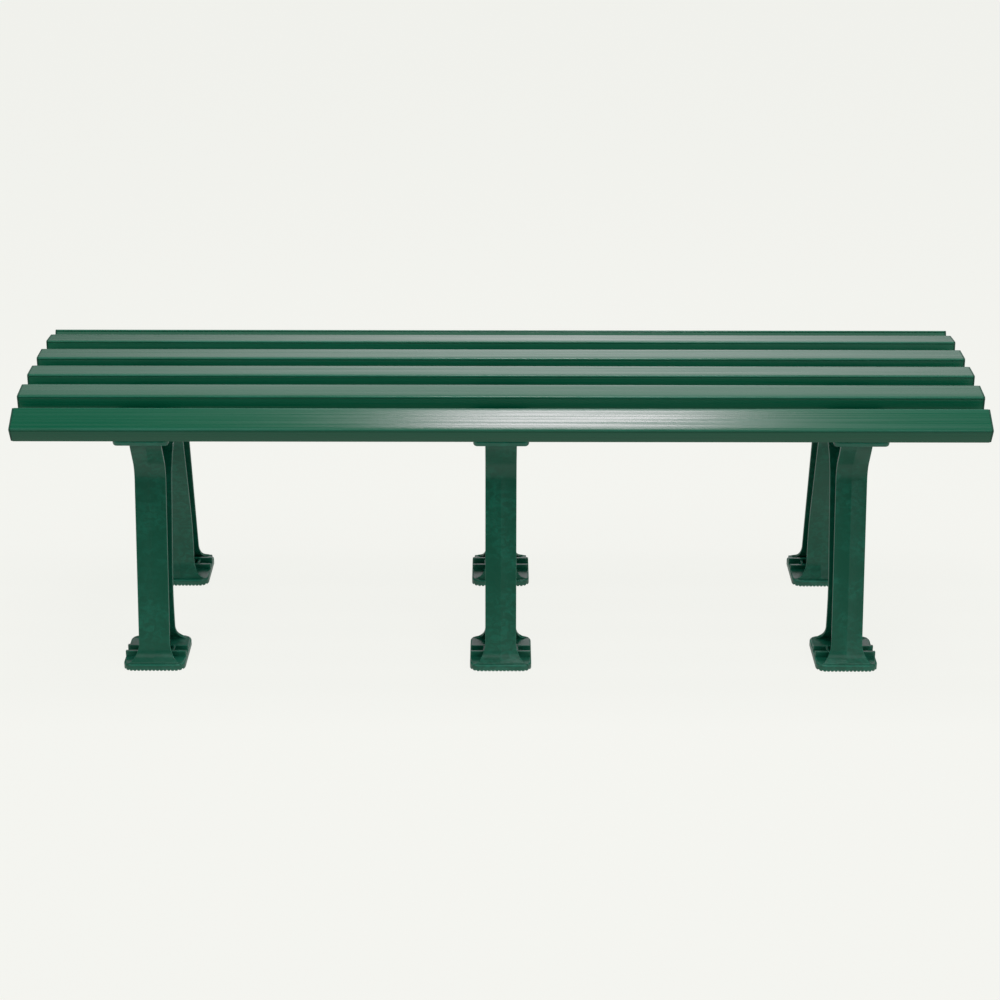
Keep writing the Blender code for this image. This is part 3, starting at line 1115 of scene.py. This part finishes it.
@dataclass(frozen=True)
class LegFrame:
    """One moulded leg frame: two flanged legs, an arch, a web, a top plate and two feet."""

    word: str
    middle: float
    flare: Flare = Flare()
    flange: StripSection = StripSection(0.005, 0.0011, ridge=0.00012)
    plate: StripSection = StripSection(0.0095, 0.0018)
    plate_half: float = 0.043
    plate_corner: float = 0.007
    plate_closing: float = 0.0022
    plate_middle: float = 0.4174
    plate_bend: float = 0.020
    plate_pitch: float = 0.005
    slat_half: float = 0.02325
    slat_drop: float = 0.0286
    web_half: float = 0.0025
    web_fillet: float = 0.003
    web_lap: float = 0.004
    web_root: float = 0.001
    web_gap: float = 0.002
    web_start: float = 0.008
    web_split: float = 0.70
    web_rules: tuple[int, int] = (70, 44)
    pitch: float = 0.0035
    outer_corners: tuple[Corner, ...] = (
        (0.2146, 0.0080, 0.0),
        (0.2137, 0.0120, 0.002),
        (0.1999, 0.0205, 0.018),
        (0.1360, 0.3140, 0.045),
        (0.1669, 0.3626, 0.050),
        (0.1795, 0.4061, 0.0),
    )
    arch_corners: tuple[Corner, ...] = (
        (0.1143, 0.0071, 0.0),
        (0.1161, 0.0152, 0.012),
        (0.1259, 0.0273, 0.030),
        (0.1276, 0.1022, 0.250),
        (0.0558, 0.3247, 0.0753),
        (0.0000, 0.3247, 0.0),
    )
    foot_half: float = 0.049
    foot_front: float = 0.2174
    foot_back: float = 0.1072
    foot_top: float = 0.0106
    foot_corner: float = 0.016
    foot_edge: float = 0.0028
    foot_lap: float = 0.002
    ribs: tuple[Span, ...] = ((0.1810, 0.1861, 0.0197), (0.1563, 0.1618, 0.0182))
    rib_inset: float = 0.0006
    rib_corner: float = 0.0012
    rib_edge: float = 0.0009
    wall: Span = (0.0240, 0.0285, 0.0177)
    wall_corner: float = 0.0010
    wall_lap: float = 0.001

    def plate_line(self) -> np.ndarray:
        """Upper face of the top plate from the middle of the bench to its back end.

        It runs a hair below the underside of every slat, with filleted bends.

        Returns:
            (Y, Z) points.
        """
        spots: list[Corner] = [(0.0, self.plate_middle, 0.0)]
        for row in (SLAT_ROWS[1], SLAT_ROWS[0]):
            for half in (-self.slat_half, self.slat_half):
                over, up = np.array([half]), np.array([-self.slat_drop])
                point = row.placed(Side.BACK, np.zeros(1), over, up)[0]
                spots.append((float(point[1]), float(point[2]), self.plate_bend))
        return filleted(spots)

    def strip(
        self,
        section: StripSection,
        line: np.ndarray,
        flip: float,
        closing: float = 0.0,
        half_width: np.ndarray | None = None,
    ) -> Shell:
        """Sweep a strip whose outer face is a line, on either side of the bench.

        Args:
            section: Its section.
            line: Outer face as (Y, Z) points.
            flip: 1 where the outer face lies to the left of the line's travel, else -1.
            closing: Radius that rounds its ends.
            half_width: Half width at each point, or None for the flange's own.

        Returns:
            The closed strip.
        """
        widths = self.flare.half_width(line[:, 1]) if half_width is None else half_width
        return section.swept(self.middle, line, left_normals(line) * flip, widths, closing)

    def outer_flange(self, side: Side) -> Shell:
        """Outer flange of one leg, from inside the foot up to the top plate.

        Args:
            side: Which leg.

        Returns:
            The closed strip.
        """
        line = filleted(self.outer_corners)
        extra = np.interp(self.flare.busy_heights(), line[:, 1], distances(line))
        line = at_distance(line, stations_along(distances(line)[-1], self.pitch, extra))
        flip = -1.0 if side is Side.BACK else 1.0
        return self.strip(self.flange, line * (side.value, 1.0), flip)

    def arch_flange(self) -> Shell:
        """Flange round the opening, from one foot over the crown to the other.

        Returns:
            The closed strip.
        """
        half = filleted(self.arch_corners)
        extra = np.interp(self.flare.busy_heights(), half[:, 1], distances(half))
        half = at_distance(half, stations_along(distances(half)[-1], self.pitch, extra))
        whole = np.concatenate([half[:-1], (half * (-1.0, 1.0))[::-1]])
        return self.strip(self.flange, whole, 1.0)

    def top_plate(self) -> Shell:
        """Plate that carries the slats, with rounded plan corners at its two ends.

        The half width draws in near each end along a quarter circle.

        Returns:
            The closed strip.
        """
        half = self.plate_line()
        whole = np.concatenate([(half * (-1.0, 1.0))[::-1], half[1:]])
        length = distances(whole)[-1]
        ends = self.plate_corner * (1.0 - np.cos(np.linspace(0.0, math.pi / 2, 12)))
        rounding = self.plate_closing * (1.0 - np.cos(np.linspace(0.0, math.pi / 2, 6)))
        extra = np.concatenate([ends, length - ends, rounding, length - rounding])
        line = at_distance(whole, stations_along(length, self.plate_pitch, extra))
        along = distances(line)
        reach = np.clip(np.minimum(along, length - along), 0.0, self.plate_corner)
        drawn = np.sqrt(self.plate_corner**2 - (self.plate_corner - reach) ** 2)
        widths = self.plate_half - self.plate_corner + drawn
        return self.strip(self.plate, line, 1.0, self.plate_closing, widths)

    def web(self) -> Shell:
        """Web between the flanges, the arch and the plate, filleted into them.

        Straight rules join matching points of the inner line (the arch) and the outer
        line (the outer flange and the plate). Along each rule the half thickness grows
        near both ends as a quarter circle of the fillet radius.

        Returns:
            The closed plate.
        """
        arch = shifted(filleted(self.arch_corners), -self.web_lap)
        outer = shifted(filleted(self.outer_corners), self.web_lap)
        plate = self.plate_line()[::-1] - (0.0, self.plate.thickness - self.web_root)
        chord = plate[plate[:, 0] < outer[-1, 0] - self.web_gap]
        crest = np.concatenate([outer[-1:], chord])
        leg_rules, crest_rules = self.web_rules
        arch_length = distances(arch)[-1]
        split = arch_length * self.web_split
        first = np.linspace(self.web_start, split, leg_rules)
        second = np.linspace(split, arch_length, crest_rules)
        inner = at_distance(arch, np.concatenate([first, second[1:]]))
        far_leg = np.linspace(self.web_start, distances(outer)[-1], leg_rules)
        far_crest = np.linspace(0.0, distances(crest)[-1], crest_rules)
        far = [at_distance(outer, far_leg), at_distance(crest, far_crest)[1:]]
        far = np.concatenate(far)
        inner = np.concatenate([inner, (inner * (-1.0, 1.0))[::-1][1:]])
        far = np.concatenate([far, (far * (-1.0, 1.0))[::-1][1:]])
        rule = far - inner
        length = np.linalg.norm(rule, axis=1)
        turn = np.linspace(0.0, math.pi / 2, 7)
        near = np.concatenate([[0.0], self.web_root + self.web_fillet * np.sin(turn)])
        past = np.clip(self.web_fillet - (near - self.web_root), 0.0, self.web_fillet)
        swell = self.web_fillet - np.sqrt(self.web_fillet**2 - past**2)
        inner_share = near[None] / length[:, None]
        outer_share = 1.0 - inner_share[:, ::-1]
        clear = outer_share[:, :1] - inner_share[:, -1:]
        centre_share = inner_share[:, -1:] + clear * np.array([0.33, 0.67])
        places = np.concatenate([inner_share, centre_share, outer_share], axis=1)
        thick = self.web_half + np.concatenate([swell, [0.0, 0.0], swell[::-1]])
        flat = inner[:, None] + rule[:, None] * places[..., None]
        both = np.concatenate([flat, flat[:, ::-1]], axis=1)
        across = np.broadcast_to(np.concatenate([thick, -thick[::-1]]), both.shape[:2])
        grid = np.stack([self.middle + across, both[..., 0], both[..., 1]], axis=-1)
        return tube_shell(grid, np.zeros(1))

    def foot(self, side: Side) -> list[Shell]:
        """Toothed foot plate with two ribs and two slot walls on it.

        Args:
            side: Which foot.

        Returns:
            The closed shells.
        """
        def block(x: tuple[float, float], y: tuple[float, float], z: tuple[float, float],
                  corner: float, edge: float, sole: Teeth | None = None) -> Shell:
            """Block between two X, two distances from the middle of the bench and two Z."""
            near, far = sorted(side.value * spot for spot in y)
            low = (self.middle + x[0], near, z[0])
            high = (self.middle + x[1], far, z[1])
            return Block(low, high, corner, edge).shell(sole)

        half = self.foot_half
        shells = [block((-half, half), (self.foot_back, self.foot_front), (0.0, self.foot_top),
                        self.foot_corner, self.foot_edge, Teeth())]
        bottom = self.foot_top - self.foot_lap
        reach = half - self.rib_inset
        for inner, outer, height in self.ribs:
            shells.append(block((-reach, reach), (inner, outer), (bottom, height),
                                self.rib_corner, self.rib_edge))
        low, high, height = self.wall
        span = (self.ribs[1][0] + self.wall_lap, self.ribs[0][1] - self.wall_lap)
        for x in ((low, high), (-high, -low)):
            shells.append(block(x, span, (bottom, height), self.wall_corner, self.rib_edge))
        return shells

    def build(self, material: bpy.types.Material) -> bpy.types.Object:
        """Build the whole moulding as one piece.

        Args:
            material: The moulded plastic.

        Returns:
            The leg frame.
        """
        shells = [self.outer_flange(Side.FRONT), self.outer_flange(Side.BACK)]
        shells += [self.arch_flange(), self.web(), self.top_plate()]
        shells += self.foot(Side.FRONT) + self.foot(Side.BACK)
        name = f"{self.word}_leg_frame_moulding"
        return add_piece(name, shells, material, f"leg_frame_{self.word}")


# --- screws --------------------------------------------------------------------------


@dataclass(frozen=True)
class Screw:
    """Pan-head screw with a six-lobed drive, turned about its own axis."""

    word: str
    frame_x: float
    number: int
    side: Side
    row: SlatRow
    label: str
    shift: float
    seat: float = -0.0381
    radius: float = 0.0023
    head_radius: float = 0.0045
    head_height: float = 0.0030
    length: float = 0.0190
    tip: float = 0.0035
    tip_radius: float = 0.0002
    bevel: float = 0.0003
    rim: float = 0.0008
    dome_end: float = 0.92
    dome_bulge: float = 0.93
    socket_radius: float = 0.0017
    socket_depth: float = 0.0016
    socket_taper: float = 0.94
    lobe: float = 0.14
    lobe_count: float = 6.0
    around: int = 36

    def rings(self) -> tuple[np.ndarray, np.ndarray, np.ndarray]:
        """Outline of the screw from its tip to the bottom of its drive.

        The head is the end of an ellipse above a short upright rim.

        Returns:
            Radius, height into the slat and lobing of each ring.
        """
        top = -self.bevel
        dome = np.linspace(0.0, self.dome_end, 8)
        dome_radius = self.head_radius * np.sqrt(1.0 - (dome * self.dome_bulge) ** 2)
        dome_height = top - self.rim - (self.head_height - self.rim) * dome
        tip = self.length - self.tip
        face = -self.head_height + top
        shank = [self.tip_radius, self.radius, self.radius, self.radius]
        rim = [self.head_radius - self.bevel, self.head_radius]
        drive = [self.socket_radius + self.bevel, self.socket_radius]
        drive.append(self.socket_radius * self.socket_taper)
        radius = np.concatenate([shank, rim, dome_radius, drive])
        height = np.concatenate([
            [self.length, tip, top + 0.0002, top, top, top - self.bevel],
            dome_height,
            [face, face + self.bevel, face + self.socket_depth],
        ])
        lobes = np.concatenate([np.zeros(14), [0.5, 1.0, 1.0]]) * self.lobe
        return radius, height, lobes

    def build(self, material: bpy.types.Material) -> bpy.types.Object:
        """Turn the outline about the axis; the drive's radius swells six times a turn.

        Args:
            material: The plated steel.

        Returns:
            The screw.
        """
        radius, height, lobes = self.rings()
        angle = np.linspace(0.0, 2.0 * math.pi, self.around, endpoint=False)[None]
        swell = np.cos(self.lobe_count * angle)
        reach = radius[:, None] * (1.0 + lobes[:, None] * swell)
        along = self.frame_x + self.shift + reach * np.cos(angle)
        grid = self.row.placed(self.side, along, reach * np.sin(angle), height[:, None] + self.seat)
        name = f"{self.word}_screw_{self.number}{self.label}"
        node = f"screw_{self.word}_slat_{self.number}_{self.label}"
        return add_piece(name, [tube_shell(grid, np.zeros(1))], material, node, 40.0)


# --- bench and studio ----------------------------------------------------------------


@dataclass(frozen=True)
class Bench:
    """The whole bench: six slats with their caps, three leg frames and their screws."""

    spacing: float = 0.553
    screw_shift: float = 0.033

    def slots(self) -> list[tuple[int, Side, SlatRow]]:
        """Number, side and row of every slat from front to back."""
        front = [(place + 1, Side.FRONT, row) for place, row in enumerate(SLAT_ROWS)]
        back = [(6 - place, Side.BACK, row) for place, row in enumerate(SLAT_ROWS)]
        return front + back[::-1]

    def build(self) -> None:
        """Make every piece with its finish."""
        slat_plastic = SlatPlastic().material()
        cap_plastic = CapPlastic().material()
        frame_plastic = FramePlastic(spacing=self.spacing).material()
        steel = ScrewSteel().material()
        for number, side, row in self.slots():
            Slat(number, side, row).build(slat_plastic)
            for end in End:
                EndCap(number, side, row, end).build(cap_plastic)
        for word, place in (("left", -1), ("middle", 0), ("right", 1)):
            frame_x = place * self.spacing
            LegFrame(word, frame_x).build(frame_plastic)
            for number, side, row in self.slots():
                for label, shift in (("a", -self.screw_shift), ("b", self.screw_shift)):
                    Screw(word, frame_x, number, side, row, label, shift).build(steel)


@dataclass(frozen=True)
class SoftBox:
    """Rectangular soft light that faces a point; only some show in glossy surfaces."""

    name: str
    place: Point
    target: Point
    size: tuple[float, float]
    glow: float
    mirrored: bool = False
    tint: Colour = (1.0, 1.0, 1.0)

    def hang(self) -> None:
        """Hang the light; its power is its glow times its area times pi."""
        lamp = bpy.data.lights.new(self.name, "AREA")
        lamp.shape = "RECTANGLE"
        lamp.size, lamp.size_y = self.size
        lamp.color = self.tint
        lamp.energy = self.glow * math.pi * self.size[0] * self.size[1]
        box = bpy.data.objects.new(self.name, lamp)
        box.location = self.place
        facing = Vector(self.target) - Vector(self.place)
        box.rotation_euler = facing.to_track_quat("-Z", "Y").to_euler()
        box.visible_camera = False
        box.visible_glossy = self.mirrored
        bpy.context.scene.collection.objects.link(box)


LIGHTS = (
    SoftBox("soft_key", (0.0, -0.4, 3.4), (0.0, 0.0, 0.3), (3.6, 3.0), 1.6),
    SoftBox("soft_left", (-1.9, -2.8, 1.2), (-0.4, 0.0, 0.3), (1.6, 1.6), 2.1),
    SoftBox("soft_right", (1.9, -2.8, 1.2), (0.4, 0.0, 0.3), (1.6, 1.6), 2.1),
    SoftBox(
        "top_box", (0.175, 0.30, 2.40), (0.10, -0.2, 0.42), (0.64, 0.60), 20.5, True,
        (1.06, 0.93, 1.0),
    ),
)


@dataclass(frozen=True)
class Studio:
    """Pale floor, soft light and the camera."""

    floor_half: float = 120.0
    floor_glow: float = 0.853
    floor_bounce: float = 0.62
    floor_colour: Colour = (0.045, 0.045, 0.044)
    floor_drift: float = 1.03
    floor_clouds: float = 0.7
    floor_roughness: float = 0.9
    paper_tint: Colour = (1.0, 1.008, 0.960)
    paper_glow: float = 0.88
    paper_edge: float = -1.20
    paper_fade: float = 0.9
    air_tint: Colour = (1.08, 0.98, 1.04)
    back_glow: float = 1.62
    back_middle: float = 0.045
    back_narrow: float = 0.065
    back_spread: float = 0.56
    front_glow: float = 0.05
    left_glow: float = 0.12
    right_glow: float = 0.60
    high_glow: float = 0.9
    roof_glow: float = 0.01
    camera_place: Point = (-0.0069, -3.5255, 1.6729)
    camera_pitch: float = 67.40
    camera_yaw: float = -0.0016
    camera_roll: float = 0.002
    sensor: float = 36.0
    lens: float = 83.46

    def floor(self) -> None:
        """Lay the floor.

        It glows evenly and takes a little light, so its shadows stay faint. To the bench
        it is a dimmer sheet that ends in front, and from below it is clear.
        """
        material, graph = new_material("floor_paper")
        place = graph.place()
        lighter = tuple(part * self.floor_drift for part in self.floor_colour)
        colour = graph.mixed(graph.noise(place, self.floor_clouds), self.floor_colour, lighter)
        sheet = graph.part(place, 1).ramp(self.paper_edge - self.paper_fade, self.paper_edge)
        bright = tuple(part * self.floor_glow for part in self.paper_tint)
        seen = graph.node("ShaderNodeLightPath", output="Is Camera Ray")
        share = seen + (1.0 - seen) * sheet * self.floor_bounce
        sockets = {
            "Base Color": colour,
            "Roughness": self.floor_roughness,
            "Specular IOR Level": 0.0,
            "Emission Color": graph.mixed(share, (0.0, 0.0, 0.0), bright),
            "Emission Strength": 1.0,
        }
        paper = graph.node("ShaderNodeBsdfPrincipled", {}, sockets)
        below = graph.node("ShaderNodeNewGeometry", output="Backfacing")
        clear = graph.node("ShaderNodeBsdfTransparent")
        graph.finish(graph.node("ShaderNodeMixShader", {}, {0: below, 1: paper, 2: clear}))
        material.cycles.emission_sampling = "NONE"
        half = self.floor_half
        corners = [(x * half, y * half, 0.0) for x, y in ((-1, -1), (1, -1), (1, 1), (-1, 1))]
        mesh = bpy.data.meshes.new("floor_paper")
        mesh.from_pydata(corners, [], [(0, 1, 2, 3)])
        mesh.materials.append(material)
        floor = bpy.data.objects.new("floor_paper", mesh)
        bpy.context.scene.collection.objects.link(floor)

    def world(self) -> None:
        """Surround the stage with light.

        Behind the bench it is a bright fan that spreads with height, in front it is dim
        with a brighter right side and a bright band high up, and overhead it is dark.
        The camera itself sees plain paper.
        """
        world = bpy.data.worlds.new("studio")
        bpy.context.scene.world = world
        world.use_nodes = True
        graph = Graph(world.node_tree)
        direction = graph.node("ShaderNodeTexCoord", output="Generated")
        aside = graph.part(direction, 0)
        rise = graph.part(direction, 2)
        behind = graph.part(direction, 1).ramp(-0.05, 0.55)
        ahead = 1.0 - behind
        spread = abs(rise) * self.back_spread + self.back_narrow
        back = ((aside - self.back_middle) / spread).bell() * self.back_glow
        front = aside.ramp(0.04, 0.34) * self.right_glow + aside.ramp(-0.04, -0.34) * self.left_glow
        front = front + self.front_glow
        high = rise.ramp(0.60, 0.76) * rise.ramp(0.97, 0.90) * ahead * self.high_glow
        glow = rise.ramp(0.86, 0.34) * (behind * back + ahead * front) + high + self.roof_glow
        seen = graph.node("ShaderNodeLightPath", output="Is Camera Ray")
        tint = graph.mixed(seen, self.air_tint, self.paper_tint)
        strength = seen * self.paper_glow + (1.0 - seen) * glow
        shader = graph.node("ShaderNodeBackground", {}, {"Color": tint, "Strength": strength})
        graph.node("ShaderNodeOutputWorld", {}, {"Surface": shader})

    def camera(self) -> None:
        """Stand the camera in front of the bench, looking a little down."""
        data = bpy.data.cameras.new("camera")
        data.sensor_width = self.sensor
        data.lens = self.lens
        camera = bpy.data.objects.new("camera", data)
        turn = Matrix.Rotation(self.camera_yaw, 4, "Z")
        turn = turn @ Matrix.Rotation(math.radians(self.camera_pitch), 4, "X")
        turn = turn @ Matrix.Rotation(self.camera_roll, 4, "Z")
        camera.matrix_world = Matrix.Translation(self.camera_place) @ turn
        bpy.context.scene.collection.objects.link(camera)
        bpy.context.scene.camera = camera

    def build(self) -> None:
        """Make the floor, the world, the lights and the camera."""
        bpy.context.scene.view_settings.view_transform = "Standard"
        self.floor()
        self.world()
        for box in LIGHTS:
            box.hang()
        self.camera()


def main() -> None:
    """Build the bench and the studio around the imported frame."""
    logging.basicConfig(level=logging.INFO, format="%(name)s: %(message)s")
    Bench().build()
    Studio().build()
    bpy.context.view_layer.update()


if __name__ == "__main__":
    main()
